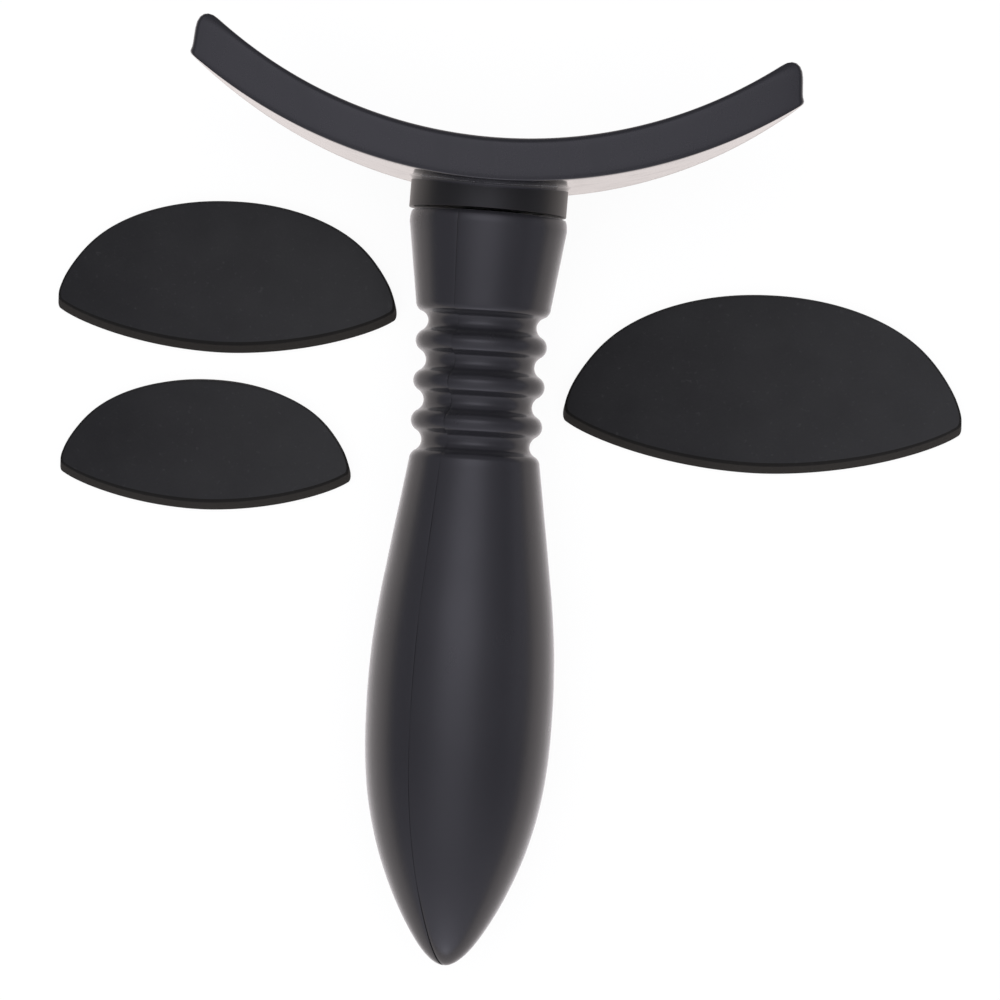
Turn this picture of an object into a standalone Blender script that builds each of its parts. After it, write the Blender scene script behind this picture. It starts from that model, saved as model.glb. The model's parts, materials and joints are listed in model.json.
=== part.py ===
"""Eyeshadow stamp: a turned two-shell grip that turns on the post of a curved half-moon head, laid on its back
with three loose half-moon pads beside it. Metres, +Z up, +Y along the grip towards the head."""

import math

import bmesh
import bpy
from mathutils import Matrix, Vector

# Grip, measured up the handle's axis from its tip
BELLY_RADIUS = 0.0091
BELLY_AT = 0.0255
NOSE_POWER = 2.45
NOSE_FALL = 0.853
TIP_LENGTH = 0.0007
TAPER_ARC_SHARE = 0.5
SHOULDER_RADIUS = 0.0064
SHOULDER_AT = 0.0492
SHOULDER_DROP = 0.0018

# Finger rings between the grip and the cup
RING_COUNT = 3
RING_PITCH = 0.0039
RING_RADIUS = 0.00642
GROOVE_RADIUS = 0.0053

# Cup that meets the head's collar
CUP_RISE = 0.0019
CUP_BASE_RADIUS = 0.0066
CUP_TOP_RADIUS = 0.00767
CUP_HEIGHT = 0.0087
CUP_EDGE_RADIUS = 0.0004

# Hollow of the shells
WALL = 0.0018
NOSE_SOLID = 0.0085
NECK_CONE = 0.0030
SEAM_ANGLE = math.radians(30)
SEAM_GAP = 0.0003

# Locating pegs on the seam
PEG_RADIUS = 0.0008
PEG_LENGTH = 0.0015
PEG_ROOT = 0.0010
PEG_CLEARANCE = 0.0002
NOSE_PEG_AT = 0.0043
NECK_PEG_AT = 0.0478
CUP_PEG_BELOW_TOP = 0.0028

# Head: half-moon plate, bent across its width, a little askew on its post
HEAD_WIDTH = 0.0586
HEAD_REAR_DEPTH = 0.02205
HEAD_FRONT_BULGE = 0.0020
HEAD_TIP_LINE = 0.0115
HEAD_TIP_DRAFT = 0.0007
HEAD_THICKNESS = 0.0039
HEAD_EDGE_RADIUS = 0.0014
HEAD_SHIFT = 0.0002
HEAD_LEAN = math.radians(1.4)
SEAT_BEND_RADIUS = 0.0450
BACK_BEND_RADIUS = 0.0510

# Collar and post under the head
COLLAR_RADIUS = 0.0077
COLLAR_HEIGHT = 0.00265
COLLAR_EMBED = 0.0015
POST_RADIUS = 0.0030
POST_LENGTH = 0.0080
FLANGE_RADIUS = 0.0047
FLANGE_HEIGHT = 0.0018
RUNNING_CLEARANCE = 0.0003
COLLAR_CLEARANCE = 0.0002

# Pads: widths, and the half-moon proportions that they share
PAD_SMALL_WIDTH = 0.02906
PAD_MEDIUM_WIDTH = 0.03388
PAD_LARGE_WIDTH = 0.03979
PAD_REAR_PER_WIDTH = 0.326
PAD_FRONT_PER_WIDTH = 0.123
PAD_HEIGHT = 0.0030
PAD_LEAN = 0.0008
PAD_DRAFT = 0.00018
PAD_EDGE_RADIUS = 0.0003
BACKING_HEIGHT = 0.0005
BACKING_INSET = 0.0008
BACKING_EDGE_RADIUS = 0.0001
GLUE_LINE = 0.0001

# Where the pads lie beside the tool
PAD_TURN = math.radians(1.22)
LARGE_TIP_GAP = 0.0019
MEDIUM_TIP_GAP = 0.00227
SMALL_TIP_GAP = 0.00588
LARGE_BELOW_COLLAR = 0.01867
MEDIUM_BELOW_COLLAR = 0.01055
PAD_TO_PAD_GAP = 0.00267

# How fully the rear and the front of a half-moon run into its tips, along and across
REAR_ALONG = 1.091
REAR_ACROSS = 0.953
FRONT_ALONG = 1.577
FRONT_ACROSS = 1.071

# Fineness of the curved surfaces
TURN_STEPS = 40
OUTLINE_STEPS = 48
NOSE_STEPS = 11
TAPER_STEPS = 7
WAVE_STEPS = 4
EDGE_SEGMENTS = 3
PEG_SEGMENTS = 12
BEND_STRIPS = 22
MERGE = 0.00001

# Worked out from the sizes above
FIRST_GROOVE_AT = SHOULDER_AT + SHOULDER_DROP
LAST_GROOVE_AT = FIRST_GROOVE_AT + RING_COUNT * RING_PITCH
CUP_AT = LAST_GROOVE_AT + CUP_RISE
HANDLE_LENGTH = CUP_AT + CUP_HEIGHT
BORE_RADIUS = POST_RADIUS + RUNNING_CLEARANCE
COLLAR_BOTTOM = HANDLE_LENGTH + COLLAR_CLEARANCE + COLLAR_RADIUS * math.sin(HEAD_LEAN)
HEAD_BACK_AT = COLLAR_BOTTOM + COLLAR_HEIGHT
HEAD_REAR_REACH = HEAD_REAR_DEPTH - HEAD_TIP_LINE
FLANGE_BOTTOM = COLLAR_BOTTOM - POST_LENGTH
FLANGE_TOP = FLANGE_BOTTOM + FLANGE_HEIGHT
REST_TILT = math.atan2(HEAD_REAR_REACH - BELLY_RADIUS, HEAD_BACK_AT - BELLY_AT)

BLACK_PLASTIC = (0.045, 0.047, 0.051, 1.0)
BLACK_SILICONE = (0.026, 0.026, 0.027, 1.0)
CLING_GREY = (0.10, 0.10, 0.10, 1.0)


def clear_scene():
    for obj in list(bpy.data.objects):
        bpy.data.objects.remove(obj, do_unlink=True)


def new_collection(name):
    collection = bpy.data.collections.new(name)
    bpy.context.scene.collection.children.link(collection)
    return collection


def new_material(name, colour, roughness):
    material = bpy.data.materials.new(name)
    material.use_nodes = True
    shader = material.node_tree.nodes["Principled BSDF"]
    shader.inputs["Base Color"].default_value = colour
    shader.inputs["Roughness"].default_value = roughness
    shader.inputs["Metallic"].default_value = 0.0
    material.diffuse_color = colour
    return material


def new_empty(name, collection, parent=None):
    empty = bpy.data.objects.new(name, None)
    empty.parent = parent
    collection.objects.link(empty)
    return empty


def new_object(name, bm, collection, parent, material=None):
    """A mesh object from a bmesh, shaded smooth except at its edges."""
    mesh = bpy.data.meshes.new(name)
    bm.to_mesh(mesh)
    bm.free()
    mesh.shade_smooth()
    mesh.set_sharp_from_angle(angle=math.radians(35))
    if material:
        mesh.materials.append(material)
    obj = bpy.data.objects.new(name, mesh)
    obj.parent = parent
    collection.objects.link(obj)
    return obj


def hide_cutter(obj):
    obj.hide_render = True
    obj.display_type = "WIRE"
    return obj


def add_boolean(obj, other, operation):
    modifier = obj.modifiers.new(other.name, "BOOLEAN")
    modifier.operation = operation
    modifier.object = other
    modifier.solver = "EXACT"


def turned(name, profile, collection, parent, material=None):
    """A profile of (radius, height) points, down its outer side, turned about Z."""
    bm = bmesh.new()
    verts = [bm.verts.new((radius, 0, height)) for radius, height in profile]
    for first, second in zip(verts, verts[1:]):
        bm.edges.new((first, second))
    obj = new_object(name, bm, collection, parent, material)
    screw = obj.modifiers.new("Turn", "SCREW")
    screw.angle = math.tau
    screw.steps = TURN_STEPS
    screw.render_steps = TURN_STEPS
    screw.use_merge_vertices = True
    screw.merge_threshold = MERGE
    screw.use_smooth_shade = True
    return obj


def sag(across, radius):
    """How far an arc falls away from its tangent."""
    return radius - math.sqrt(radius**2 - across**2)


def climb(along, run, rise):
    """The height at a distance along an S-curve of two equal arcs, which climbs by rise over its run."""
    radius = (run**2 + rise**2) / (4 * rise)
    if along < run / 2:
        return sag(along, radius)
    return rise - sag(run - along, radius)


def grip_radius(at):
    """The grip's outer radius: a blunt nose up to the belly, then an arc that runs into a straight taper."""
    if at <= BELLY_AT:
        left = 1 - at / BELLY_AT
        blunt = math.sqrt(1 - math.exp(-at / TIP_LENGTH))
        return BELLY_RADIUS * (1 - NOSE_FALL * left**NOSE_POWER) * blunt
    share = (at - BELLY_AT) / (SHOULDER_AT - BELLY_AT)
    arc = TAPER_ARC_SHARE
    if share < arc:
        fallen = share**2 / (arc * (2 - arc))
    else:
        fallen = (2 * share - arc) / (2 - arc)
    return BELLY_RADIUS - (BELLY_RADIUS - SHOULDER_RADIUS) * fallen


def stations(first, last, count):
    """Heights from first to last, with first left out."""
    return [first + (last - first) * step / count for step in range(1, count + 1)]


def outer_profile():
    """(radius, height) points of the handle's outside, from its tip to the edge of its top face."""
    points = [(0.0, 0.0)]
    for step in range(1, NOSE_STEPS + 1):
        at = BELLY_AT * (step / NOSE_STEPS) ** 2
        points.append((grip_radius(at), at))
    for at in stations(BELLY_AT, SHOULDER_AT, TAPER_STEPS):
        points.append((grip_radius(at), at))
    for at in stations(SHOULDER_AT, FIRST_GROOVE_AT, WAVE_STEPS):
        fallen = climb(at - SHOULDER_AT, SHOULDER_DROP, SHOULDER_RADIUS - GROOVE_RADIUS)
        points.append((SHOULDER_RADIUS - fallen, at))
    for step in range(1, RING_COUNT * 2 * WAVE_STEPS + 1):
        at = FIRST_GROOVE_AT + RING_PITCH / 2 * step / WAVE_STEPS
        past = step % (2 * WAVE_STEPS)
        along = RING_PITCH / 2 * min(past, 2 * WAVE_STEPS - past) / WAVE_STEPS
        points.append((GROOVE_RADIUS + climb(along, RING_PITCH / 2, RING_RADIUS - GROOVE_RADIUS), at))
    for at in stations(LAST_GROOVE_AT, CUP_AT, WAVE_STEPS):
        raised = climb(at - LAST_GROOVE_AT, CUP_RISE, CUP_BASE_RADIUS - GROOVE_RADIUS)
        points.append((GROOVE_RADIUS + raised, at))
    for step in range(EDGE_SEGMENTS + 1):
        angle = math.pi / 2 * step / EDGE_SEGMENTS
        inwards = CUP_EDGE_RADIUS * (1 - math.cos(angle))
        above = CUP_EDGE_RADIUS * (1 - math.sin(angle))
        points.append((CUP_TOP_RADIUS - inwards, HANDLE_LENGTH - above))
    return points


def bore_profile():
    """(radius, height) points of the hollow, from its floor in the nose to the mouth of the bore."""
    cone_top = SHOULDER_AT - WALL
    cone_bottom = cone_top - NECK_CONE
    points = [(0.0, NOSE_SOLID), (grip_radius(NOSE_SOLID) - WALL, NOSE_SOLID)]
    for at in stations(NOSE_SOLID, cone_bottom, NOSE_STEPS):
        points.append((grip_radius(at) - WALL, at))
    points.append((BORE_RADIUS, cone_top))
    pocket_bottom = FLANGE_BOTTOM - RUNNING_CLEARANCE
    pocket_top = FLANGE_TOP + RUNNING_CLEARANCE
    pocket_radius = FLANGE_RADIUS + RUNNING_CLEARANCE
    points.append((BORE_RADIUS, pocket_bottom))
    points.append((pocket_radius, pocket_bottom))
    points.append((pocket_radius, pocket_top))
    points.append((BORE_RADIUS, pocket_top))
    points.append((BORE_RADIUS, HANDLE_LENGTH))
    return points


def seam_places():
    """Where the pegs stand on the seam, as (distance across the axis, height up it)."""
    neck_reach = (grip_radius(NECK_PEG_AT) + BORE_RADIUS) / 2
    cup_reach = (CUP_TOP_RADIUS + BORE_RADIUS) / 2
    cup_peg_at = HANDLE_LENGTH - CUP_PEG_BELOW_TOP
    places = [(0.0, NOSE_PEG_AT)]
    for side in (-1, 1):
        places.append((side * neck_reach, NECK_PEG_AT))
        places.append((side * cup_reach, cup_peg_at))
    return places


def seam_pins(name, radius, first, last, cutters, parent):
    """Cylinders square to the seam, from first to last across it."""
    bm = bmesh.new()
    lying = Matrix.Rotation(math.pi / 2, 4, "Y")
    for across, at in seam_places():
        place = Matrix.Translation(((first + last) / 2, across, at))
        bmesh.ops.create_cone(
            bm, cap_ends=True, segments=PEG_SEGMENTS, radius1=radius, radius2=radius,
            depth=last - first, matrix=place @ lying,
        )
    pins = hide_cutter(new_object(name, bm, cutters, parent))
    pins.rotation_euler.z = -SEAM_ANGLE
    return pins


def seam_block(name, side, cutters, parent):
    """A block that clears the handle on one side of the seam, with half of the seam's gap."""
    reach = 2 * HANDLE_LENGTH
    bm = bmesh.new()
    bmesh.ops.create_cube(bm, size=reach)
    bmesh.ops.translate(bm, verts=bm.verts, vec=(side * (reach - SEAM_GAP) / 2, 0, HANDLE_LENGTH / 2))
    block = hide_cutter(new_object(name, bm, cutters, parent))
    block.rotation_euler.z = -SEAM_ANGLE
    return block


def make_handle(parts, cutters, tool, material):
    """Two half shells round the post, held in line by pegs on the right one and sockets in the left one."""
    profile = bore_profile() + outer_profile()[::-1]
    left = turned("handle_shell_left", profile, parts, tool, material)
    right = turned("handle_shell_right", profile, parts, tool, material)
    add_boolean(left, seam_block("right_of_seam", 1, cutters, tool), "DIFFERENCE")
    add_boolean(right, seam_block("left_of_seam", -1, cutters, tool), "DIFFERENCE")
    half_gap = SEAM_GAP / 2
    pegs = seam_pins("pegs", PEG_RADIUS, -half_gap - PEG_LENGTH, half_gap + PEG_ROOT, cutters, tool)
    add_boolean(right, pegs, "UNION")
    socket_depth = PEG_LENGTH + PEG_CLEARANCE
    sockets = seam_pins(
        "sockets", PEG_RADIUS + PEG_CLEARANCE, -half_gap - socket_depth, half_gap, cutters, tool
    )
    add_boolean(left, sockets, "DIFFERENCE")


def half_moon(width, rear, front):
    """Points round a half-moon: a full arch at the rear (+Y) and a flatter bow at the front (-Y)."""
    points = []
    for step in range(OUTLINE_STEPS):
        along = math.sin(math.tau * step / OUTLINE_STEPS)
        across = math.cos(math.tau * step / OUTLINE_STEPS)
        if along > 0:
            depth = rear * along**REAR_ALONG
            reach = abs(across) ** REAR_ACROSS
        else:
            depth = -front * (-along) ** FRONT_ALONG
            reach = abs(across) ** FRONT_ACROSS
        points.append((math.copysign(width / 2 * reach, across), depth))
    return points


def half_moon_slab(width, rear, front, bottom, top, edge, lean=0.0, draft=0.0):
    """A half-moon slab with a rounded upper rim, built up from outlines. Towards its top it leans to the rear,
    and its tips and rear draw in by the draft."""
    bm = bmesh.new()
    loops = [[bm.verts.new((x, y, bottom)) for x, y in half_moon(width, rear, front)]]
    for step in range(EDGE_SEGMENTS + 1):
        angle = math.pi / 2 * step / EDGE_SEGMENTS
        inset = edge * (1 - math.cos(angle))
        height = top - edge * (1 - math.sin(angle))
        up = (height - bottom) / (top - bottom)
        drawn = inset + draft * up
        outline = half_moon(width - 2 * drawn, rear - drawn - lean * up, front - inset)
        loops.append([bm.verts.new((x, y + lean * up, height)) for x, y in outline])
    for lower, upper in zip(loops, loops[1:]):
        for step in range(OUTLINE_STEPS):
            bm.faces.new((lower[step - 1], lower[step], upper[step], upper[step - 1]))
    bm.faces.new(loops[0])
    bm.faces.new(loops[-1])
    bmesh.ops.recalc_face_normals(bm, faces=bm.faces)
    return bm


def head_plate():
    """The half-moon plate, bent so that its ends rise. Its ends draw in towards the seat."""
    bm = half_moon_slab(HEAD_WIDTH, HEAD_REAR_DEPTH, HEAD_FRONT_BULGE, 0.0, HEAD_THICKNESS, HEAD_EDGE_RADIUS)
    for strip in range(1, BEND_STRIPS):
        across = HEAD_WIDTH * (strip / BEND_STRIPS - 0.5)
        everything = bm.verts[:] + bm.edges[:] + bm.faces[:]
        bmesh.ops.bisect_plane(bm, geom=everything, dist=MERGE, plane_co=(across, 0, 0), plane_no=(1, 0, 0))
    for vert in bm.verts:
        share = vert.co.z / HEAD_THICKNESS
        vert.co.x *= 1 - share * HEAD_TIP_DRAFT / (HEAD_WIDTH / 2)
        back = sag(vert.co.x, BACK_BEND_RADIUS)
        seat = sag(vert.co.x, SEAT_BEND_RADIUS)
        vert.co.y -= HEAD_TIP_LINE
        vert.co.z += COLLAR_HEIGHT + back + (seat - back) * share
    bmesh.ops.recalc_face_normals(bm, faces=bm.faces)
    return bm


def make_head(parts, cutters, tool, material):
    """The bent plate and its collar, and the flanged post that the handle turns on."""
    seat = new_empty("head_place", parts, tool)
    seat.location = (-HEAD_SHIFT, 0, COLLAR_BOTTOM)
    seat.rotation_euler.y = HEAD_LEAN
    head = new_object("stamp_head", head_plate(), parts, seat, material)
    collar_top = COLLAR_HEIGHT + COLLAR_EMBED
    collar = turned(
        "collar",
        [(0.0, collar_top), (COLLAR_RADIUS, collar_top), (COLLAR_RADIUS, 0.0), (0.0, 0.0)],
        cutters,
        seat,
    )
    post_top = COLLAR_BOTTOM + COLLAR_EMBED
    post = turned(
        "post",
        [
            (0.0, post_top),
            (POST_RADIUS, post_top),
            (POST_RADIUS, FLANGE_TOP),
            (FLANGE_RADIUS, FLANGE_TOP),
            (FLANGE_RADIUS, FLANGE_BOTTOM),
            (0.0, FLANGE_BOTTOM),
        ],
        cutters,
        tool,
    )
    add_boolean(head, hide_cutter(collar), "UNION")
    add_boolean(head, hide_cutter(post), "UNION")


def make_pad(name, width, parts, place, silicone, cling):
    """A soft half-moon pad on its thin cling layer. The bowed front slopes out to its foot."""
    rear = width * PAD_REAR_PER_WIDTH
    front = width * PAD_FRONT_PER_WIDTH
    base = BACKING_HEIGHT + GLUE_LINE
    pad = half_moon_slab(width, rear, front, base, PAD_HEIGHT, PAD_EDGE_RADIUS, PAD_LEAN, PAD_DRAFT)
    new_object(name, pad, parts, place, silicone)
    inset = BACKING_INSET
    layer = half_moon_slab(
        width - 2 * inset, rear - inset, front - inset, 0.0, BACKING_HEIGHT, BACKING_EDGE_RADIUS
    )
    new_object(name + "_backing", layer, parts, place, cling)


def make_pads(parts, table, silicone, cling):
    """The large pad lies to the right of the rings, the medium one to their left and the small one below it."""
    large_at = COLLAR_BOTTOM - LARGE_BELOW_COLLAR
    medium_at = COLLAR_BOTTOM - MEDIUM_BELOW_COLLAR
    small_depth = PAD_MEDIUM_WIDTH * PAD_FRONT_PER_WIDTH + PAD_TO_PAD_GAP + PAD_SMALL_WIDTH * PAD_REAR_PER_WIDTH
    large_across = RING_RADIUS + LARGE_TIP_GAP + PAD_LARGE_WIDTH / 2
    medium_across = RING_RADIUS + MEDIUM_TIP_GAP + PAD_MEDIUM_WIDTH / 2
    small_across = SHOULDER_RADIUS + SMALL_TIP_GAP + PAD_SMALL_WIDTH / 2
    layout = (
        ("pad_large", PAD_LARGE_WIDTH, large_across, large_at),
        ("pad_medium", PAD_MEDIUM_WIDTH, -medium_across, medium_at),
        ("pad_small", PAD_SMALL_WIDTH, -small_across, medium_at - small_depth),
    )
    for name, width, across, along in layout:
        place = new_empty(name + "_place", parts, table)
        place.location = (across, along, 0)
        place.rotation_euler.z = PAD_TURN
        make_pad(name, width, parts, place, silicone, cling)


def lay_tool(tool):
    """Lays the standing tool on its back, on its belly and on the rear of its head."""
    tool.rotation_euler.x = REST_TILT - math.pi / 2
    tilt_down = math.sin(REST_TILT)
    tilt_out = math.cos(REST_TILT)
    tool.location.z = max(radius * tilt_out - at * tilt_down for radius, at in outer_profile())


def centre_on_floor(table, parts):
    """Puts the origin at the middle of the whole set's box, on the floor."""
    bpy.context.view_layer.update()
    graph = bpy.context.evaluated_depsgraph_get()
    corners = []
    for obj in parts.objects:
        if obj.type == "MESH":
            solid = obj.evaluated_get(graph)
            corners += [solid.matrix_world @ vert.co for vert in solid.data.vertices]
    low = Vector([min(corner[axis] for corner in corners) for axis in range(3)])
    high = Vector([max(corner[axis] for corner in corners) for axis in range(3)])
    middle = (low + high) / 2
    table.location = (-middle.x, -middle.y, -low.z)


def main():
    clear_scene()
    parts = new_collection("eyeshadow_stamp")
    cutters = new_collection("cutters")
    plastic = new_material("black_plastic", BLACK_PLASTIC, 0.5)
    silicone = new_material("black_silicone", BLACK_SILICONE, 0.6)
    cling = new_material("cling_layer", CLING_GREY, 0.4)
    table = new_empty("table", parts)
    tool = new_empty("tool_axis", parts, table)
    make_handle(parts, cutters, tool, plastic)
    make_head(parts, cutters, tool, plastic)
    make_pads(parts, table, silicone, cling)
    lay_tool(tool)
    centre_on_floor(table, parts)


main()
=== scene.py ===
"""Looks of the eyeshadow stamp: a satin black grip in two halves on a curved half-moon head, with three soft
black pads beside it, on a white table under soft light, seen from straight above. Metres."""

import json
import math

import bpy
from mathutils import Matrix, Vector


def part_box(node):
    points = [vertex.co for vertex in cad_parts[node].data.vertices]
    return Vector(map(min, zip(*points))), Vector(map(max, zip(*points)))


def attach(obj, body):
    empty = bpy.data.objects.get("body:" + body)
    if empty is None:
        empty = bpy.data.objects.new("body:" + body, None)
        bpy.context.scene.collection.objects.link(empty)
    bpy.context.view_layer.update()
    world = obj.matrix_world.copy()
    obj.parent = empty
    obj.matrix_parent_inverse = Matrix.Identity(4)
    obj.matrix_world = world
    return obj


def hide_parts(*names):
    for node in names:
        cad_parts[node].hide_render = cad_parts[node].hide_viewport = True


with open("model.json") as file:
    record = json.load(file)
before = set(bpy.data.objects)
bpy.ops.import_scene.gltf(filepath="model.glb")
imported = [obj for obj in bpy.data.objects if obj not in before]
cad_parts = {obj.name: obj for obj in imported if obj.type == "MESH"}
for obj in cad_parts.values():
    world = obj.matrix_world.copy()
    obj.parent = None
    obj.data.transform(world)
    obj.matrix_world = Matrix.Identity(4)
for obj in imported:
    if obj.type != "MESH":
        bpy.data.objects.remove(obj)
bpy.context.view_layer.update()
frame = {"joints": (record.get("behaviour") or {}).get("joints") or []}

# Grip, measured up its axis from the tip
BELLY_RADIUS = 0.0091
BELLY_AT = 0.0255
NOSE_POWER = 2.45
NOSE_FALL = 0.853
TIP_LENGTH = 0.0007
TAPER_ARC_SHARE = 0.5
SHOULDER_RADIUS = 0.0064
SHOULDER_AT = 0.0492
SHOULDER_DROP = 0.0018

# Finger rings
RING_COUNT = 3
RING_PITCH = 0.0039
RING_RADIUS = 0.00642
GROOVE_RADIUS = 0.0053

# Cup at the top of the grip
CUP_RISE = 0.0019
CUP_BASE_RADIUS = 0.0066
CUP_TOP_RADIUS = 0.00767
CUP_HEIGHT = 0.0087
CUP_EDGE_REACH = 0.00022
CUP_EDGE_STRETCH = 5.0
CUP_LIFT = 0.0001
CUP_SLANT = math.radians(1.0)

# Inside of the grip
WALL = 0.0018
NOSE_SOLID = 0.0085
NECK_CONE = 0.0030
RUNNING_CLEARANCE = 0.0003

# Mould seam between the two halves
SEAM_ANGLE = math.radians(30)
SEAM_TWIST = math.radians(8.5)
SEAM_HALF_GAP = 0.000025
SEAM_CUP_GAP = 0.00002
SEAM_TIP_GAP = 0.00008
SEAM_TIP_REACH = 0.005
SEAM_DEPTH = 0.00002
SEAM_WIDTH = 0.00014
SEAM_CROWDING = 0.9
RING_MISMATCH = 0.00012

# How the seam wavers up the grip: a mean share, and waves with a share, a length and a phase each
SEAM_MEAN = 0.8
SEAM_WAVES = ((0.3, 0.0021, 0.0), (0.15, 0.00083, 1.0))

# Head
HEAD_WIDTH = 0.0589
HEAD_REAR_DEPTH = 0.02205
HEAD_FRONT_BULGE = 0.0020
HEAD_TIP_LINE = 0.0115
HEAD_TIP_DRAFT = 0.00035
HEAD_THICKNESS = 0.00377
HEAD_SWELL = 0.0003
HEAD_EDGE_RADIUS = 0.0020
HEAD_FINE_EDGE_SHARE = 0.25
HEAD_FULL_EDGE_POWER = 16
HEAD_BACK_EDGE_RADIUS = 0.00025
HEAD_UNDERSIDE_NORMAL = -0.6
HEAD_SHIFT = 0.00015
HEAD_LEAN = math.radians(1.4)
SEAT_BEND_RADIUS = 0.0443
BACK_BEND_RADIUS = 0.0504
TIP_POINT_REACH = 0.0002
TIP_POINT_HEIGHT = 0.0006
TIP_POINT_SHARE = 0.97

# Collar and post under the head
COLLAR_RADIUS = 0.0077
COLLAR_HEIGHT = 0.00265
COLLAR_BOTTOM_LEAN = CUP_SLANT
COLLAR_FLARE = 0.00035
FLARE_END = 0.0066
COLLAR_EDGE_RADIUS = 0.00006
COLLAR_EMBED = 0.0010
COLLAR_CLEARANCE = 0.0002
POST_RADIUS = 0.0030
POST_LENGTH = 0.0080
FLANGE_RADIUS = 0.0047
FLANGE_HEIGHT = 0.0018

# Half-moon outline: how fully its rear and its front run into the tips, along and across
REAR_ALONG = 1.091
REAR_ACROSS = 0.953
FRONT_ALONG = 1.577
FRONT_ACROSS = 1.071
TIP_ROUNDING = 0.2
TIP_ROUNDING_LOSS = 0.2
TIP_ROUNDING_POWER = 12
TIP_ROUNDING_STEPS = 4
TIP_PINCH = 0.28
TIP_PINCH_POWER = 10

# Pads, and the cling layer under each
PAD_REAR_PER_WIDTH = 0.326
PAD_FRONT_PER_WIDTH = 0.123
PAD_TURN = math.radians(1.22)
PAD_LEAN = 0.0008
PAD_DRAFT = 0.00018
PAD_EDGE_RADIUS = 0.0003
PAD_FOOT_RADIUS = 0.00015
PAD_CROWN = 0.0004
PAD_TOP_NORMAL = 0.95
PAD_REAR_NORMAL = 0.3
CLING_INSET = 0.0008
CLING_EDGE_RADIUS = 0.0001

# Fineness of the meshes
HALF_TURN_STEPS = 96
MOON_STEPS = 224
NOSE_STEPS = 60
TAPER_STEPS = 40
WAVE_STEPS = 16
ARC_STEPS = 6
FACE_RINGS = 18
MERGE = 0.000001
GRIP_SHARP_ANGLE = math.radians(35)
HEAD_SHARP_ANGLE = math.radians(40)
PAD_SHARP_ANGLE = math.radians(50)

# Worked out from the sizes above
FIRST_GROOVE_AT = SHOULDER_AT + SHOULDER_DROP
LAST_GROOVE_AT = FIRST_GROOVE_AT + RING_COUNT * RING_PITCH
CUP_AT = LAST_GROOVE_AT + CUP_RISE
HANDLE_LENGTH = CUP_AT + CUP_HEIGHT
COLLAR_BOTTOM = HANDLE_LENGTH + COLLAR_CLEARANCE + COLLAR_RADIUS * math.sin(HEAD_LEAN)

# Camera, straight above and a little below the middle, from the photograph
CAMERA_TARGET = Vector((-0.0000275, 0.000633, 0.010))
CAMERA_DISTANCE = 0.5
CAMERA_NEAR = 0.01
CAMERA_TILT = math.radians(2.05)
CAMERA_SIDE = math.radians(0.65)
CAMERA_ROLL = math.radians(3.45)
PIXELS_PER_METRE = 10235
FRAME_PIXELS = 1000
SENSOR_MM = 36

# Light, where a strength of 1 is white. A sky is (place, level) stops, across or along the grip
FLOOR_SIZE = 6.0
FLOOR_DROP = 0.00004
FLOOR_GLOW = 0.94
FLOOR_NEAR = 0.05
FLOOR_FAR = 0.16
SKY_SHIFT = 0.08
SKY_ACROSS = ((0.0, 0.15), (0.2, 0.04), (0.5, 0.0), (0.72, 0.1), (0.86, 0.29), (0.95, 0.7), (1.0, 1.0))
SKY_ALONG = (
    (0.145, 0.09), (0.22, 0.26), (0.3, 0.40), (0.42, 0.42),
    (0.5, 0.78), (0.62, 1.3), (0.66, 0.6), (0.76, 0.1),
)
SKY_FRONT = (
    (0.0, 1.9), (0.015, 1.2), (0.07, 0.76), (0.145, 0.6),
    (0.3, 0.39), (0.4, 0.34), (0.65, 0.36), (0.8, 0.25),
)
SKY_PEAK = 2.0
FILL_HEIGHT = 1.2
FILL_SIZE = 1.4
FILL_WATTS = 16.0

# Textures of the finishes: the size of their features, where specks, rubbing and dust begin and are full,
# and the height of their grain
CLOUD_SIZE = 0.006
SPECK_SIZE = 0.00035
SPECK_BAND = (0.66, 0.78)
RUB_SIZE = 0.0025
RUB_STRETCH = (1, 3, 1)
RUB_BAND = (0.50, 0.75)
FINE_SIZE = 0.00012
SILICONE_CLOUD_SIZE = 0.004
PEBBLE_SIZE = 0.00025
DUST_SIZE = 0.0004
DUST_BAND = (0.64, 0.80)
PLASTIC_GRAIN = 0.0000012
UNDERSIDE_GRAIN = 0.0000002
SILICONE_GRAIN = 0.000004
CLING_GRAIN = 0.000001
SHEEN_ROUGHNESS = 0.3

# Colours
GRIP_BLACK = (0.0096, 0.0094, 0.0112, 1)
GRIP_GREY = (0.0132, 0.0129, 0.0150, 1)
COLLAR_BLACK = (0.0032, 0.0031, 0.0029, 1)
COLLAR_GREY = (0.0052, 0.0050, 0.0047, 1)
PAD_BLACK = (0.0070, 0.0070, 0.0072, 1)
PAD_GREY = (0.0205, 0.0205, 0.0208, 1)
# Painted light: a browner copy of the pad silicone, for how light falls on its front and side walls
PAD_PAINTED_LIGHT_WALL_BLACK = (0.0096, 0.0087, 0.0070, 1)
PAD_PAINTED_LIGHT_WALL_GREY = (0.0165, 0.0150, 0.0124, 1)
# Painted shade: a darker copy of the pad silicone for its top edge and foot, on all but the rear
PAD_PAINTED_SHADE_RIM_BLACK = (0.0068, 0.0066, 0.0061, 1)
PAD_PAINTED_SHADE_RIM_GREY = (0.0112, 0.0107, 0.0098, 1)
CLING_BLACK = (0.0040, 0.0040, 0.0042, 1)
CLING_GREY = (0.0070, 0.0070, 0.0072, 1)
WHITE = (1, 1, 1, 1)
TABLE_PAINT = (0.9, 0.9, 0.9, 1)
WARM_WHITE = (0.95, 0.87, 0.85, 1)
WARM_GREY = (0.50, 0.47, 0.465, 1)
NIGHT = (0, 0, 0, 1)
COOL_SKY = (1, 0.985, 1.14, 1)


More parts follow.
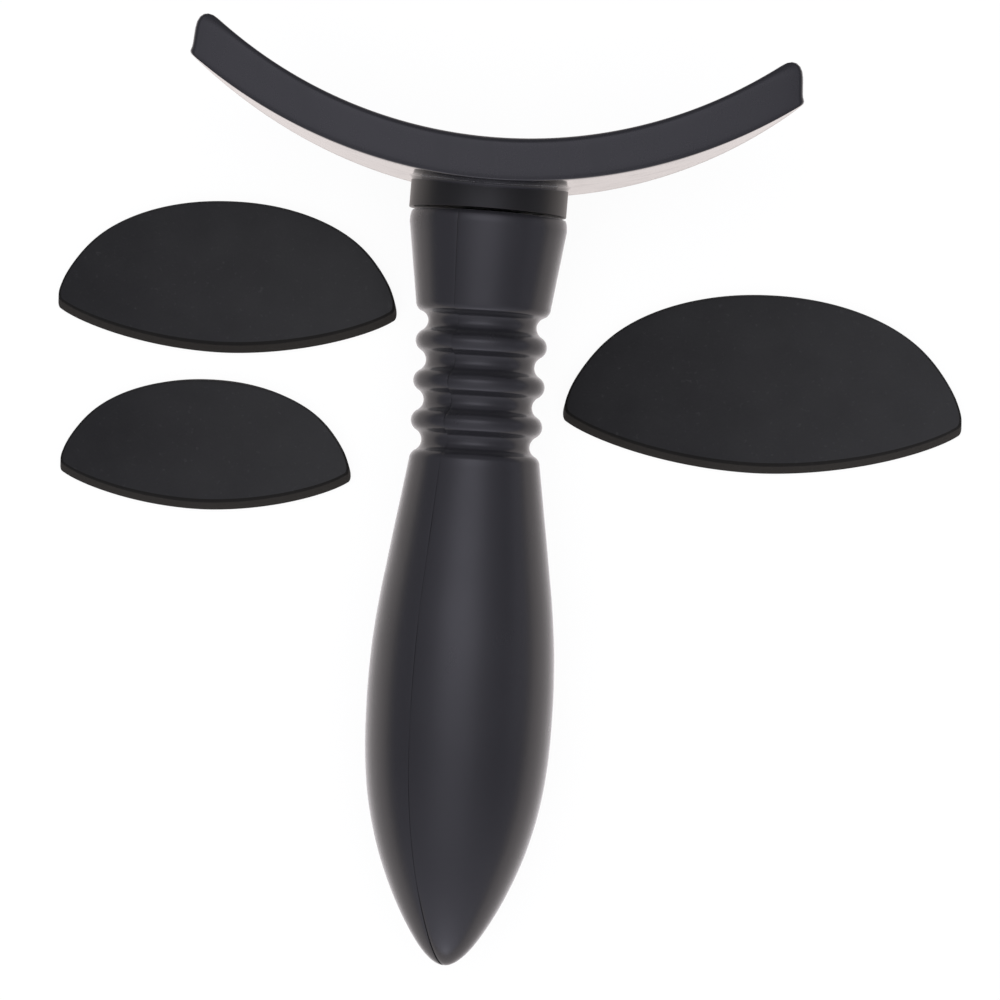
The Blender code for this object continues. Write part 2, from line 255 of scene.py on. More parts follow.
class Wire:
    """An output socket of a finish, for Python arithmetic."""

    def __init__(self, finish, socket):
        self.finish = finish
        self.socket = socket

    def math(self, operation, first, second):
        return self.finish.node("ShaderNodeMath", {"operation": operation}, {0: first, 1: second})

    def __add__(self, other):
        return self.math("ADD", self, other)

    def __sub__(self, other):
        return self.math("SUBTRACT", self, other)

    def __rsub__(self, other):
        return self.math("SUBTRACT", other, self)

    def __mul__(self, other):
        return self.math("MULTIPLY", self, other)

    def __truediv__(self, other):
        return self.math("DIVIDE", self, other)

    def __pow__(self, other):
        return self.math("POWER", self, other)

    def __abs__(self):
        return self.math("ABSOLUTE", self, 0.0)

    def at_least(self, other):
        return self.math("MAXIMUM", self, other)

    __radd__ = __add__
    __rmul__ = __mul__


class Finish:
    """The nodes of a material or of the world."""

    def __init__(self, owner):
        owner.use_nodes = True
        self.tree = owner.node_tree
        self.tree.nodes.clear()

    def node(self, kind, settings=None, sockets=None, output=0):
        """Adds a node of that kind, sets it up, fills or links its sockets and gives one of its outputs."""
        made = self.tree.nodes.new(kind)
        for name, value in (settings or {}).items():
            if name == "stops":
                self.set_stops(made.color_ramp, value)
            else:
                setattr(made, name, value)
        for name, value in (sockets or {}).items():
            if isinstance(value, Wire):
                self.tree.links.new(value.socket, made.inputs[name])
            else:
                made.inputs[name].default_value = value
        return Wire(self, made.outputs[output]) if made.outputs else None

    def set_stops(self, ramp, stops):
        """Sets a ramp's stops from (place, level) pairs."""
        while len(ramp.elements) < len(stops):
            ramp.elements.new(1.0)
        for element, (place, level) in zip(ramp.elements, stops):
            element.position = place
            element.color = (level, level, level, 1)

    def noise(self, size, detail=2.0, stretch=(1, 1, 1)):
        """Cloudy noise from 0 to 1 with features of that size in metres, longer along a stretched axis."""
        place = self.node("ShaderNodeTexCoord", output="Object")
        scale = [1 / (size * longer) for longer in stretch]
        scaled = self.node("ShaderNodeMapping", None, {"Vector": place, "Scale": scale})
        return self.node("ShaderNodeTexNoise", None, {"Vector": scaled, "Scale": 1.0, "Detail": detail})

    def band(self, value, low, high):
        """0 below low, 1 above high."""
        sockets = {"Value": value, "From Min": low, "From Max": high}
        return self.node("ShaderNodeMapRange", {"clamp": True}, sockets)

    def mix(self, factor, first, second):
        sockets = {0: factor, 6: first, 7: second}
        return self.node("ShaderNodeMix", {"data_type": "RGBA"}, sockets, output=2)

    def bump(self, height, distance):
        return self.node("ShaderNodeBump", None, {"Height": height, "Distance": distance, "Strength": 1.0})


def satin_plastic(name, dark, pale, roughness, grain, shine=0.5, polish=0.0, sheen=0.0):
    """Moulded black plastic: a faint cloud in its colour, a fine spark-eroded grain and softly rubbed
    patches. Shine is how much it mirrors, polish is a clear gloss over it, and sheen a soft-touch glow
    along its sides."""
    material = bpy.data.materials.new(name)
    finish = Finish(material)
    cloud = finish.noise(CLOUD_SIZE, detail=3.0)
    speck = finish.band(finish.noise(SPECK_SIZE, detail=1.0), *SPECK_BAND)
    rub = finish.band(finish.noise(RUB_SIZE, detail=4.0, stretch=RUB_STRETCH), *RUB_BAND)
    fine = finish.noise(FINE_SIZE, detail=1.0)
    colour = finish.mix(cloud * 0.8 + speck * 0.2, dark, pale)
    gloss = roughness + rub * 0.06 + fine * 0.04 - cloud * 0.03
    sockets = {"Base Color": colour, "Roughness": gloss, "Normal": finish.bump(fine, grain)}
    sockets.update({"Specular IOR Level": shine, "Coat Weight": polish, "Coat Roughness": roughness})
    sockets.update({"Sheen Weight": sheen, "Sheen Roughness": SHEEN_ROUGHNESS})
    shader = finish.node("ShaderNodeBsdfPrincipled", None, sockets)
    finish.node("ShaderNodeOutputMaterial", None, {"Surface": shader})
    return material


def soft_silicone(name, dark, pale, roughness, grain, shine=0.25):
    """Soft matte black silicone with a pebbled skin and scattered paler dust. Painted light makes it paler
    towards its right and darker towards its left. Shine is how much it mirrors."""
    material = bpy.data.materials.new(name)
    finish = Finish(material)
    cloud = finish.noise(SILICONE_CLOUD_SIZE, detail=3.0)
    pebble = finish.noise(PEBBLE_SIZE, detail=2.0)
    dust = finish.band(finish.noise(DUST_SIZE, detail=2.0), *DUST_BAND)
    across = finish.node("ShaderNodeAttribute", {"attribute_name": "across"}, output="Fac")
    # Painted light: across * 0.4 makes the colour paler towards the right tip and darker towards the left.
    colour = finish.mix(0.15 + cloud * 0.4 + dust * 0.5 + across * 0.4, dark, pale)
    gloss = roughness + pebble * 0.10 - dust * 0.05
    sockets = {"Base Color": colour, "Roughness": gloss, "Normal": finish.bump(pebble, grain)}
    sockets["Specular IOR Level"] = shine
    shader = finish.node("ShaderNodeBsdfPrincipled", None, sockets)
    finish.node("ShaderNodeOutputMaterial", None, {"Surface": shader})
    return material


def seen_directly(finish):
    """1 where the camera, a reflection or a see-through piece looks, and 0 for light that bounces."""
    camera = finish.node("ShaderNodeLightPath", output="Is Camera Ray")
    glossy = finish.node("ShaderNodeLightPath", output="Is Glossy Ray")
    through = finish.node("ShaderNodeLightPath", output="Is Transmission Ray")
    return camera.at_least(glossy).at_least(through)


def white_table():
    """A white table top that glows white where it is seen and keeps a faint shadow. Its reflection is warm,
    and dimmer from further off to the sides."""
    material = bpy.data.materials.new("white_table")
    finish = Finish(material)
    paint = finish.node("ShaderNodeBsdfDiffuse", None, {"Color": TABLE_PAINT})
    mirrored = finish.node("ShaderNodeLightPath", output="Is Glossy Ray")
    place = finish.node("ShaderNodeTexCoord", output="Object")
    aside = finish.node("ShaderNodeSeparateXYZ", None, {"Vector": place}, output="X")
    reflection = finish.mix(finish.band(abs(aside), FLOOR_NEAR, FLOOR_FAR), WARM_WHITE, WARM_GREY)
    colour = finish.mix(mirrored, WHITE, reflection)
    glow = finish.node("ShaderNodeEmission", None, {"Color": colour, "Strength": 1.0})
    share = seen_directly(finish) * FLOOR_GLOW
    surface = finish.node("ShaderNodeMixShader", None, {0: share, 1: paint, 2: glow})
    finish.node("ShaderNodeOutputMaterial", None, {"Surface": surface})
    return material


def sag(across, radius):
    """How far an arc falls away from its tangent."""
    return radius - math.sqrt(radius**2 - across**2)


def climb(along, run, rise):
    """The height at a distance along an S-curve of two equal arcs, which climbs by rise over its run."""
    radius = (run**2 + rise**2) / (4 * rise)
    if along < run / 2:
        return sag(along, radius)
    return rise - sag(run - along, radius)


def stations(first, last, count):
    """Heights from first to last, with first left out."""
    return [first + (last - first) * step / count for step in range(1, count + 1)]


def corner(centre, radius, start, end, stretch=1.0):
    """(radius, height) points of an arc about a centre, between two angles in degrees, stretched upwards."""
    points = []
    for step in range(ARC_STEPS + 1):
        angle = math.radians(start + (end - start) * step / ARC_STEPS)
        out = centre[0] + radius * math.cos(angle)
        points.append((out, centre[1] + stretch * radius * math.sin(angle)))
    return points


def grip_radius(at):
    """The grip's outer radius: a blunt nose up to the belly, then an arc that runs into a straight taper."""
    if at <= BELLY_AT:
        left = 1 - at / BELLY_AT
        blunt = math.sqrt(1 - math.exp(-at / TIP_LENGTH))
        return BELLY_RADIUS * (1 - NOSE_FALL * left**NOSE_POWER) * blunt
    share = (at - BELLY_AT) / (SHOULDER_AT - BELLY_AT)
    arc = TAPER_ARC_SHARE
    if share < arc:
        fallen = share**2 / (arc * (2 - arc))
    else:
        fallen = (2 * share - arc) / (2 - arc)
    return BELLY_RADIUS - (BELLY_RADIUS - SHOULDER_RADIUS) * fallen


def grip_outside(ring_shift):
    """(radius, height) points of the grip's outside, from its tip to the edge of its top face."""
    points = [(0.0, 0.0)]
    for step in range(1, NOSE_STEPS + 1):
        at = BELLY_AT * (step / NOSE_STEPS) ** 2
        points.append((grip_radius(at), at))
    for at in stations(BELLY_AT, SHOULDER_AT, TAPER_STEPS):
        points.append((grip_radius(at), at))
    for at in stations(SHOULDER_AT, FIRST_GROOVE_AT, WAVE_STEPS):
        along = at - SHOULDER_AT
        fallen = climb(along, SHOULDER_DROP, SHOULDER_RADIUS - GROOVE_RADIUS)
        points.append((SHOULDER_RADIUS - fallen, at + ring_shift * along / SHOULDER_DROP))
    for at in stations(FIRST_GROOVE_AT, LAST_GROOVE_AT, RING_COUNT * 2 * WAVE_STEPS):
        beyond = (at - FIRST_GROOVE_AT) % RING_PITCH
        along = min(beyond, RING_PITCH - beyond)
        raised = climb(along, RING_PITCH / 2, RING_RADIUS - GROOVE_RADIUS)
        points.append((GROOVE_RADIUS + raised, at + ring_shift))
    for at in stations(LAST_GROOVE_AT, CUP_AT, WAVE_STEPS):
        along = at - LAST_GROOVE_AT
        raised = climb(along, CUP_RISE, CUP_BASE_RADIUS - GROOVE_RADIUS)
        points.append((GROOVE_RADIUS + raised, at + ring_shift * (1 - along / CUP_RISE)))
    edge = (CUP_TOP_RADIUS - CUP_EDGE_REACH, HANDLE_LENGTH - CUP_EDGE_REACH * CUP_EDGE_STRETCH)
    return points + corner(edge, CUP_EDGE_REACH, 0, 90, CUP_EDGE_STRETCH)


def grip_inside():
    """(radius, height) points of the hollow, from the mouth of the bore to the floor in the nose."""
    bore = POST_RADIUS + RUNNING_CLEARANCE
    pocket = FLANGE_RADIUS + RUNNING_CLEARANCE
    pocket_floor = COLLAR_BOTTOM - POST_LENGTH - RUNNING_CLEARANCE
    pocket_top = COLLAR_BOTTOM - POST_LENGTH + FLANGE_HEIGHT + RUNNING_CLEARANCE
    cone_top = SHOULDER_AT - WALL
    points = [(bore, HANDLE_LENGTH), (bore, pocket_top), (pocket, pocket_top), (pocket, pocket_floor)]
    points += [(bore, pocket_floor), (bore, cone_top)]
    for at in stations(cone_top - NECK_CONE, NOSE_SOLID, TAPER_STEPS // 2):
        points.append((grip_radius(at) - WALL, at))
    return points + [(0.0, NOSE_SOLID)]


def drawn_profile(name, points):
    """A line in the YZ plane, drawn by extruding one vertex from point to point. It stays in edit mode."""
    bpy.ops.object.select_all(action="DESELECT")
    bpy.ops.mesh.primitive_plane_add(size=WALL)
    obj = bpy.context.object
    obj.name = name
    obj.data.name = name
    bpy.ops.object.mode_set(mode="EDIT")
    bpy.ops.mesh.select_mode(type="VERT")
    bpy.ops.mesh.select_all(action="SELECT")
    bpy.ops.mesh.merge(type="CENTER")
    places = [Vector((0, radius, height)) for radius, height in points]
    bpy.ops.transform.translate(value=places[0])
    for here, there in zip(places, places[1:]):
        bpy.ops.mesh.extrude_region_move(TRANSFORM_OT_translate={"value": there - here})
    return obj


def turned(name, points, angle=math.tau, steps=2 * HALF_TURN_STEPS):
    """A profile of (radius, height) points turned about Z, from +Y towards +X. It stays in edit mode."""
    obj = drawn_profile(name, points)
    bpy.ops.mesh.select_all(action="SELECT")
    bpy.ops.mesh.spin(steps=steps, angle=angle, center=(0, 0, 0), axis=(0, 0, 1))
    bpy.ops.mesh.select_all(action="SELECT")
    bpy.ops.mesh.remove_doubles(threshold=MERGE)
    bpy.ops.mesh.select_all(action="SELECT")
    bpy.ops.mesh.normals_make_consistent(inside=False)
    return obj


def leave_edit(obj, sharp_angle):
    """Ends edit mode and shades the piece smooth, except over edges sharper than that."""
    bpy.ops.object.mode_set(mode="OBJECT")
    bpy.ops.object.shade_smooth_by_angle(angle=sharp_angle)
    return obj


def apply_modifier(obj, kind, **settings):
    bpy.ops.object.select_all(action="DESELECT")
    obj.select_set(True)
    bpy.context.view_layer.objects.active = obj
    modifier = obj.modifiers.new(kind, kind)
    for name, value in settings.items():
        setattr(modifier, name, value)
    bpy.ops.object.modifier_apply(modifier=modifier.name)


def tool_place():
    """The tool's frame in the row: its tip, +Z up its axis and its front at -Y."""
    turn = next(joint for joint in frame["joints"] if joint["name"] == "handle_turn")
    up = Vector(turn["axis"]).normalized()
    across = Vector((1, 0, 0))
    tip = Vector(turn["pos_m"]) - up * COLLAR_BOTTOM
    turned_to = Matrix((across, up.cross(across), up)).transposed().to_4x4()
    return Matrix.Translation(tip) @ turned_to


def seam_waver(at):
    """The share of its depth and gap that the seam has at a height."""
    return SEAM_MEAN + sum(share * math.sin(at / length + phase) for share, length, phase in SEAM_WAVES)


def sink_seam(obj, side):
    """Draws the steps of a half turn together at the seam, sinks a soft groove along it and leaves an
    uneven hairline gap, which is wider at the tip and on the cup."""
    for vert in obj.data.vertices:
        out = math.hypot(vert.co.x, vert.co.y)
        angle = math.atan2(side * vert.co.x, vert.co.y)
        angle -= SEAM_CROWDING * math.sin(2 * angle) / 2
        beside = out * math.sin(angle) / SEAM_WIDTH
        uneven = seam_waver(vert.co.z)
        out -= min(out, SEAM_DEPTH * uneven) * math.exp(-(beside**2))
        gap = SEAM_HALF_GAP * uneven + SEAM_TIP_GAP * math.exp(-vert.co.z / SEAM_TIP_REACH)
        if vert.co.z > CUP_AT:
            gap += SEAM_CUP_GAP
        vert.co.x = side * (out * math.sin(angle) + gap)
        vert.co.y = out * math.cos(angle)


def turn_seam(obj):
    """Turns the seam to its place, a little less over the rings and the cup."""
    for vert in obj.data.vertices:
        share = max(0.0, (vert.co.z - SHOULDER_AT) / (HANDLE_LENGTH - SHOULDER_AT))
        vert.co.rotate(Matrix.Rotation(SEAM_TWIST * share - SEAM_ANGLE, 3, "Z"))


def slant_cup(obj):
    """Lifts the top of the cup a little and slants it to follow the leaning collar."""
    for vert in obj.data.vertices:
        share = max(0.0, (vert.co.z - CUP_AT) / CUP_HEIGHT)
        vert.co.z += (CUP_LIFT - vert.co.x * math.tan(CUP_SLANT)) * share


def grip_half(name, side, ring_shift):
    """One half of the grip, to the left (-1) or right (1) of the seam, closed along the seam."""
    profile = grip_outside(ring_shift) + grip_inside()
    obj = turned(name, profile, angle=side * math.pi, steps=HALF_TURN_STEPS)
    bpy.ops.mesh.select_all(action="DESELECT")
    bpy.ops.mesh.select_mode(type="EDGE")
    bpy.ops.mesh.select_non_manifold()
    bpy.ops.mesh.edge_face_add()
    bpy.ops.mesh.quads_convert_to_tris(ngon_method="BEAUTY")
    bpy.ops.mesh.select_all(action="SELECT")
    bpy.ops.mesh.normals_make_consistent(inside=False)
    bpy.ops.object.mode_set(mode="OBJECT")
    sink_seam(obj, side)
    turn_seam(obj)
    slant_cup(obj)
    obj.data.transform(tool_place())
    bpy.ops.object.shade_smooth_by_angle(angle=GRIP_SHARP_ANGLE)
    return obj


def sharp_moon_edge(angle, width, rear, front):
    """The point at an angle on a half-moon: a full arch at the rear (+Y), drawn in a little beside the
    tips, and a flatter bow at the front."""
    along = math.sin(angle)
    across = math.cos(angle)
    if along > 0:
        depth = rear * along**REAR_ALONG
        reach = abs(across) ** REAR_ACROSS - TIP_PINCH * along**2 * across**TIP_PINCH_POWER
    else:
        depth = -front * (-along) ** FRONT_ALONG
        reach = abs(across) ** FRONT_ACROSS
    return Vector((math.copysign(width / 2 * reach, across), depth))


def moon_edge(angle, width, rear, front):
    """The point at an angle on a half-moon with rounded tips, as the mean of a stretch of the sharp
    outline, which starts wider by what the mean draws in."""
    wider = width * (1 + TIP_ROUNDING_LOSS * TIP_ROUNDING**2)
    reach = TIP_ROUNDING * abs(math.cos(angle)) ** TIP_ROUNDING_POWER
    total = Vector((0, 0))
    for step in range(-TIP_ROUNDING_STEPS, TIP_ROUNDING_STEPS + 1):
        total += sharp_moon_edge(angle + reach * step / TIP_ROUNDING_STEPS, wider, rear, front)
    return total / (2 * TIP_ROUNDING_STEPS + 1)


def press_half_moon(obj, width, rear, front, rim, foot=0.0, top=1.0, lean=0.0, draft=0.0):
    """Presses a round turned form of that width into a half-moon. Its rim keeps its section, and its faces
    stretch. From foot to top it leans to the rear, and its tips and rear draw in by the draft."""
    radius = width / 2
    for vert in obj.data.vertices:
        angle = math.atan2(vert.co.y, vert.co.x)
        out = math.hypot(vert.co.x, vert.co.y)
        inset = min(radius - out, rim)
        up = min(1.0, max(0.0, (vert.co.z - foot) / (top - foot)))
        drawn = inset + draft * up
        edge = moon_edge(angle, width - 2 * drawn, rear - drawn - lean * up, front - inset)
        edge *= min(1.0, out / (radius - rim))
        vert.co.x = edge.x
        vert.co.y = edge.y + lean * up


def face_rings(outer, height, inwards=True):
    """(radius, height) points of a flat face, from its edge to its middle or back."""
    radii = [outer * step / FACE_RINGS for step in range(FACE_RINGS)]
    return [(radius, height) for radius in (reversed(radii) if inwards else radii)]


def head_back(across):
    """The height of the plate's bent back above the collar's bottom, swollen most in the middle."""
    middle = 1 - (2 * across / HEAD_WIDTH) ** 2
    return COLLAR_HEIGHT + sag(across, BACK_BEND_RADIUS) - HEAD_SWELL * middle


def sharpen_front(obj):
    """Makes the seat's rounded edge fine along the front and the rear, and leaves it full at the tips."""
    wall = HEAD_WIDTH / 2
    rounded = HEAD_EDGE_RADIUS
    straight = HEAD_THICKNESS - rounded
    for vert in obj.data.vertices:
        out = max(MERGE, math.hypot(vert.co.x, vert.co.y))
        at_tip = (abs(vert.co.x) / out) ** HEAD_FULL_EDGE_POWER
        share = HEAD_FINE_EDGE_SHARE + (1 - HEAD_FINE_EDGE_SHARE) * at_tip
        if vert.co.z < straight:
            vert.co.z *= (HEAD_THICKNESS - rounded * share) / straight
        elif out > wall - rounded - MERGE:
            vert.co.z = HEAD_THICKNESS - (HEAD_THICKNESS - vert.co.z) * share
            closer = (wall - (wall - out) * share) / out
            vert.co.x *= closer
            vert.co.y *= closer


def bend_head(obj):
    """Bends the flat plate so that its ends rise and draw in towards the seat, with a point at each tip."""
    half = HEAD_WIDTH / 2
    for vert in obj.data.vertices:
        share = vert.co.z / HEAD_THICKNESS
        at_tip = max(0.0, (abs(vert.co.x) / half - TIP_POINT_SHARE) / (1 - TIP_POINT_SHARE))
        low = max(0.0, 1 - vert.co.z / TIP_POINT_HEIGHT)
        vert.co.x *= 1 - (share * HEAD_TIP_DRAFT - at_tip * low * TIP_POINT_REACH) / half
        back = head_back(vert.co.x)
        seat = COLLAR_HEIGHT + sag(vert.co.x, SEAT_BEND_RADIUS)
        vert.co.y -= HEAD_TIP_LINE
        vert.co.z += back + (seat - back) * share


def head_plate():
    """The half-moon plate: a flat back, a wall and a rounded edge round its concave seat."""
    wall = HEAD_WIDTH / 2
    soft = HEAD_BACK_EDGE_RADIUS
    rounded = HEAD_EDGE_RADIUS
    profile = face_rings(wall - soft, 0.0, inwards=False)
    profile += corner((wall - soft, soft), soft, -90, 0)
    profile += [(wall, at) for at in stations(soft, HEAD_THICKNESS - rounded, ARC_STEPS)]
    profile += corner((wall - rounded, HEAD_THICKNESS - rounded), rounded, 0, 90)[1:]
    profile += face_rings(wall - rounded, HEAD_THICKNESS)
    obj = turned("curved_head", profile, steps=MOON_STEPS)
    leave_edit(obj, HEAD_SHARP_ANGLE)
    sharpen_front(obj)
    press_half_moon(obj, HEAD_WIDTH, HEAD_REAR_DEPTH, HEAD_FRONT_BULGE, rounded)
    bend_head(obj)
    return obj


def collar():
    """The collar under the plate, with a fillet where it runs into the plate's bent back. Its bottom leans
    less than the plate does, which leaves an even gap over the cup."""
    soft = COLLAR_EDGE_RADIUS
    flare_centre = (COLLAR_RADIUS + COLLAR_FLARE, COLLAR_HEIGHT - COLLAR_FLARE)
    profile = [(0.0, 0.0), (POST_RADIUS, 0.0)]
    profile += corner((COLLAR_RADIUS - soft, soft), soft, -90, 0)
    profile += corner(flare_centre, COLLAR_FLARE, 180, 90)
    top = COLLAR_HEIGHT + COLLAR_EMBED
    profile += [(COLLAR_RADIUS + COLLAR_FLARE, top), (0.0, top)]
    obj = leave_edit(turned("collar", profile), HEAD_SHARP_ANGLE)
    for vert in obj.data.vertices:
        share = min(1.0, max(0.0, vert.co.z / (COLLAR_HEIGHT - COLLAR_FLARE)))
        level = vert.co.x * math.tan(HEAD_LEAN - COLLAR_BOTTOM_LEAN)
        vert.co.z += (head_back(vert.co.x) - COLLAR_HEIGHT) * share + level * (1 - share)
    return obj


def post():
    """The flanged post that the grip turns on, hidden inside it."""
    foot = -POST_LENGTH
    flange_top = foot + FLANGE_HEIGHT
    profile = [
        (0.0, foot),
        (FLANGE_RADIUS, foot),
        (FLANGE_RADIUS, flange_top),
        (POST_RADIUS, flange_top),
        (POST_RADIUS, COLLAR_HEIGHT),
        (0.0, COLLAR_HEIGHT),
    ]
    return leave_edit(turned("post", profile), HEAD_SHARP_ANGLE)


def curved_head(front_black, underside_black, collar_black):
    """The plate, its collar and its post as one moulding, with three finishes. The fillet takes the front's
    finish in its middle and the underside's at its sides."""
    plate = head_plate()
    ring = collar()
    stub = post()
    front, underside, side = range(3)
    for obj in (plate, ring, stub):
        for material in (front_black, underside_black, collar_black):
            obj.data.materials.append(material)
    for face in plate.data.polygons:
        if face.normal.z < HEAD_UNDERSIDE_NORMAL:
            face.material_index = underside
    for obj in (ring, stub):
        for face in obj.data.polygons:
            face.material_index = side
            if math.hypot(face.center.x, face.center.y) > COLLAR_RADIUS:
                face.material_index = underside if abs(face.center.x) > FLARE_END else front
    stub.data.transform(tool_place() @ Matrix.Translation((0, 0, COLLAR_BOTTOM)))
    shifted = tool_place() @ Matrix.Translation((-HEAD_SHIFT, 0, COLLAR_BOTTOM))
    leaned = shifted @ Matrix.Rotation(HEAD_LEAN, 4, "Y")
    plate.data.transform(leaned)
    ring.data.transform(leaned)
    for added in (ring, stub):
        apply_modifier(plate, "BOOLEAN", operation="UNION", object=added, solver="EXACT")
        bpy.data.objects.remove(added)
    bpy.ops.object.shade_smooth_by_angle(angle=HEAD_SHARP_ANGLE)
    return plate


def pad_frame(node):
    """A pad's place in the row and its width, from its solid's box."""
    low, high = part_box(node)
    width = (high.x - low.x) / math.cos(PAD_TURN)
    tip_line = low.y + width * PAD_FRONT_PER_WIDTH
    place = Matrix.Translation(((low.x + high.x) / 2, tip_line, 0)) @ Matrix.Rotation(PAD_TURN, 4, "Z")
    return place, width


def stamp_pad(name, node, top_black, painted_light_wall_black, painted_shade_rim_black):
    """A soft pad: a leaning wall with a rounded foot and edge, and a slightly crowned top. The attribute
    across runs from -1 at its left tip to 1 at its right tip, and the silicone uses it for painted light."""
    place, width = pad_frame(node)
    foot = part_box(node)[0].z
    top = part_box(node)[1].z
    radius = width / 2
    edge = PAD_EDGE_RADIUS
    soft = PAD_FOOT_RADIUS
    crest = top - PAD_CROWN
    profile = face_rings(radius - soft, foot, inwards=False)
    profile += corner((radius - soft, foot + soft), soft, -90, 0)
    profile += [(radius, at) for at in stations(foot + soft, crest - edge, ARC_STEPS)]
    profile += corner((radius - edge, crest - edge), edge, 0, 90)[1:]
    inner = radius - edge
    for out, level in face_rings(inner, crest):
        profile.append((out, level + PAD_CROWN * (1 - (out / inner) ** 2)))
    obj = leave_edit(turned(name, profile, steps=MOON_STEPS), PAD_SHARP_ANGLE)
    rear = width * PAD_REAR_PER_WIDTH
    front = width * PAD_FRONT_PER_WIDTH
    press_half_moon(obj, width, rear, front, edge, foot, crest, PAD_LEAN, PAD_DRAFT)
    # The across attribute carries painted light into the silicone's colour, paler to the right.
    across = obj.data.attributes.new("across", "FLOAT", "POINT")
    for vert in obj.data.vertices:
        across.data[vert.index].value = vert.co.x / radius
    for material in (top_black, painted_light_wall_black, painted_shade_rim_black):
        obj.data.materials.append(material)
    # Painted light: wall faces, except at the rear, take the browner wall silicone.
    _, wall, rim = range(3)
    # Painted shade: edge and foot faces, except at the rear, take the darker rim silicone.
    for face in obj.data.polygons:
        at_edge = face.center.z > crest - edge or face.center.z < foot + soft
        if face.normal.z < PAD_TOP_NORMAL and face.normal.y < PAD_REAR_NORMAL:
            face.material_index = rim if at_edge else wall
    obj.data.transform(place)
    return obj


def cling_layer(name, pad_node, node, black):
    """The thin layer under a pad, set in from its edge."""
    place, width = pad_frame(pad_node)
    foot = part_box(node)[0].z
    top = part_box(node)[1].z
    inset_width = width - 2 * CLING_INSET
    radius = inset_width / 2
    soft = CLING_EDGE_RADIUS
    profile = face_rings(radius - soft, foot, inwards=False)
    profile += corner((radius - soft, foot + soft), soft, -90, 0)
    profile += corner((radius - soft, top - soft), soft, 0, 90)
    profile += face_rings(radius - soft, top)
    obj = leave_edit(turned(name, profile, steps=MOON_STEPS), PAD_SHARP_ANGLE)
    rear = width * PAD_REAR_PER_WIDTH - CLING_INSET
    front = width * PAD_FRONT_PER_WIDTH - CLING_INSET
    press_half_moon(obj, inset_width, rear, front, soft)
    obj.data.materials.append(black)
    obj.data.transform(place)
    return obj


def dress(obj, body, node):
    """The piece rides on its body and stands for its solid."""
    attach(obj, body)
    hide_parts(node)


def make_tool():
    tones = (GRIP_BLACK, GRIP_GREY)
    dark_tones = (COLLAR_BLACK, COLLAR_GREY)
    grain = PLASTIC_GRAIN
    grip_black = satin_plastic("satin_grip", *tones, roughness=0.22, grain=grain, sheen=0.5)
    head_black = satin_plastic("satin_head", *tones, roughness=0.26, grain=grain, shine=0.38, sheen=0.5)
    underside = satin_plastic("smooth_underside", *tones, roughness=0.12, grain=UNDERSIDE_GRAIN, polish=0.5)
    collar_black = satin_plastic("matte_collar", *dark_tones, roughness=0.33, grain=grain, shine=0.42)
    left = grip_half("grip_left_half", -1, RING_MISMATCH)
    right = grip_half("grip_right_half", 1, 0.0)
    for obj, node in ((left, "handle_shell_left"), (right, "handle_shell_right")):
        obj.data.materials.append(grip_black)
        dress(obj, "handle", node)
    head = curved_head(head_black, underside, collar_black)
    dress(head, "head", "stamp_head")


def make_pads():
    painted_light_wall_tones = (PAD_PAINTED_LIGHT_WALL_BLACK, PAD_PAINTED_LIGHT_WALL_GREY)
    painted_shade_rim_tones = (PAD_PAINTED_SHADE_RIM_BLACK, PAD_PAINTED_SHADE_RIM_GREY)
    grain = SILICONE_GRAIN
    top_black = soft_silicone("silicone_top", PAD_BLACK, PAD_GREY, roughness=0.62, grain=grain)
    # Painted light: browner silicone for the pads' front and side walls.
    painted_light_wall_black = soft_silicone("silicone_painted_light_wall", *painted_light_wall_tones, roughness=0.70, grain=grain, shine=0.15)
    # Painted shade: darker silicone for the pads' top edge and foot.
    painted_shade_rim_black = soft_silicone("silicone_painted_shade_rim", *painted_shade_rim_tones, roughness=0.75, grain=grain, shine=0.1)
    cling_black = soft_silicone("cling_black", CLING_BLACK, CLING_GREY, roughness=0.45, grain=CLING_GRAIN)
    for size in ("small", "medium", "large"):
        node = "pad_" + size
        pad = stamp_pad(size + "_stamp_pad", node, top_black, painted_light_wall_black, painted_shade_rim_black)
        dress(pad, size + "_pad", node)
        cling = cling_layer(size + "_cling_layer", node, node + "_backing", cling_black)
        dress(cling, size + "_pad", node + "_backing")
        pad.visible_glossy = False
        cling.visible_glossy = False


def make_table():
    bpy.ops.object.select_all(action="DESELECT")
    bpy.ops.mesh.primitive_plane_add(size=FLOOR_SIZE, location=(0, 0, -FLOOR_DROP))
    table = bpy.context.object
    table.name = "table"
    table.data.materials.append(white_table())


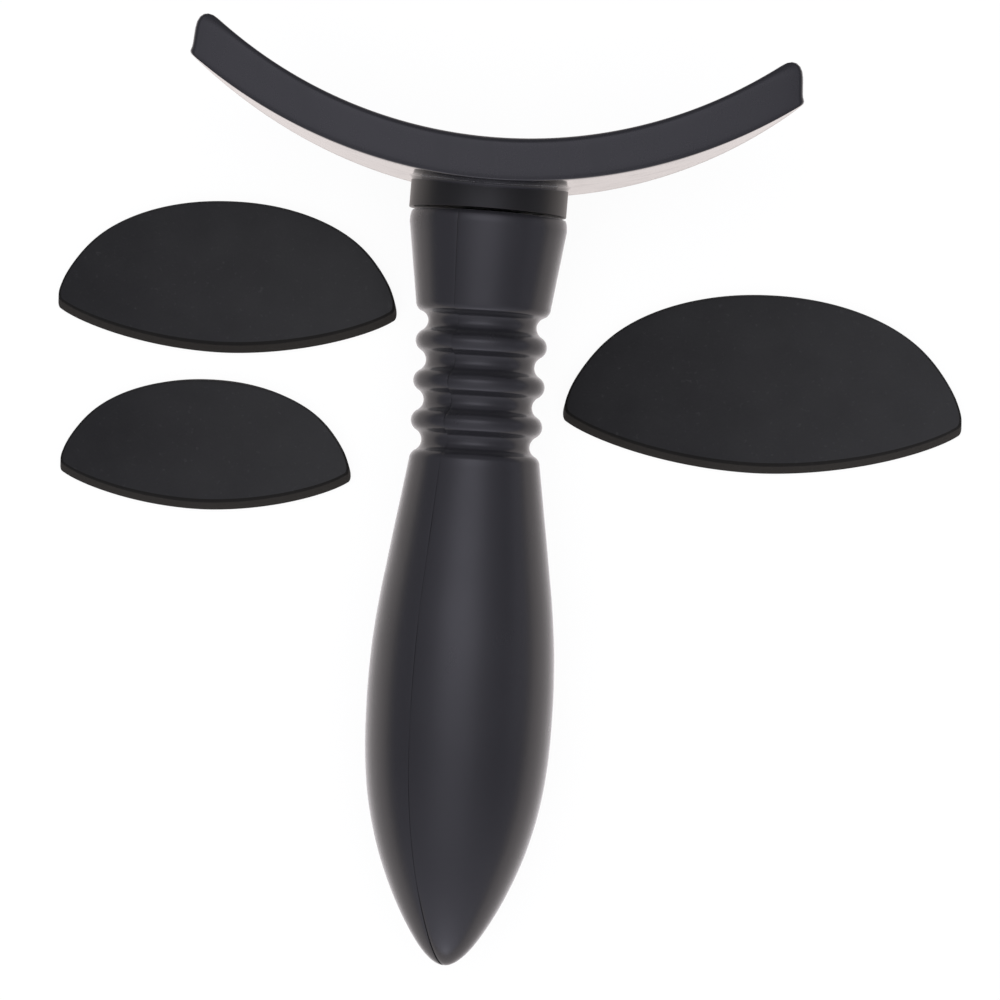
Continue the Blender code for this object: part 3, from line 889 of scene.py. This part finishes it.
def make_light():
    """A soft sky, brightest overhead, and a fill that lights without a reflection of its own."""
    world = bpy.data.worlds.new("soft_room")
    bpy.context.scene.world = world
    finish = Finish(world)
    direction = finish.node("ShaderNodeTexCoord", output="Generated")
    x, y = [finish.node("ShaderNodeSeparateXYZ", None, {"Vector": direction}, output=axis) for axis in "XY"]
    aside = x + SKY_SHIFT
    upright = (1 - aside * aside).at_least(0.0) ** 0.5
    endways = y * 0.5 + 0.5
    across = finish.node("ShaderNodeValToRGB", {"stops": SKY_ACROSS}, {"Fac": upright})
    along = finish.node("ShaderNodeValToRGB", {"stops": SKY_ALONG}, {"Fac": endways})
    front = finish.node("ShaderNodeValToRGB", {"stops": SKY_FRONT}, {"Fac": endways})
    colour = finish.mix((across * along + front) / SKY_PEAK, NIGHT, COOL_SKY)
    sky = finish.node("ShaderNodeBackground", None, {"Color": colour, "Strength": SKY_PEAK})
    white = finish.node("ShaderNodeBackground", None, {"Color": WHITE, "Strength": 1.0})
    camera = finish.node("ShaderNodeLightPath", output="Is Camera Ray")
    room = finish.node("ShaderNodeMixShader", None, {0: camera, 1: sky, 2: white})
    finish.node("ShaderNodeOutputWorld", None, {"Surface": room})
    lamp = bpy.data.lights.new("fill", "AREA")
    lamp.size = FILL_SIZE
    lamp.energy = FILL_WATTS
    fill = bpy.data.objects.new("fill", lamp)
    fill.location = (0, 0, FILL_HEIGHT)
    fill.visible_glossy = False
    bpy.context.scene.collection.objects.link(fill)


def make_camera():
    back = Vector((math.sin(CAMERA_SIDE), -math.sin(CAMERA_TILT), 0))
    back.z = math.sqrt(1 - back.length_squared)
    right = (-back).cross(Vector((0, 1, 0))).normalized()
    up = right.cross(-back)
    rolled_up = math.cos(CAMERA_ROLL) * up - math.sin(CAMERA_ROLL) * right
    rolled_right = (-back).cross(rolled_up)
    lens = bpy.data.cameras.new("camera")
    lens.sensor_width = SENSOR_MM
    lens.lens = PIXELS_PER_METRE * CAMERA_DISTANCE / FRAME_PIXELS * SENSOR_MM
    lens.clip_start = CAMERA_NEAR
    camera = bpy.data.objects.new("camera", lens)
    turn = Matrix((rolled_right, rolled_up, back)).transposed().to_4x4()
    camera.matrix_world = Matrix.Translation(CAMERA_TARGET + back * CAMERA_DISTANCE) @ turn
    bpy.context.scene.collection.objects.link(camera)
    bpy.context.scene.camera = camera


make_camera()
make_tool()
make_pads()
make_table()
make_light()
bpy.context.scene.view_settings.view_transform = "Standard"
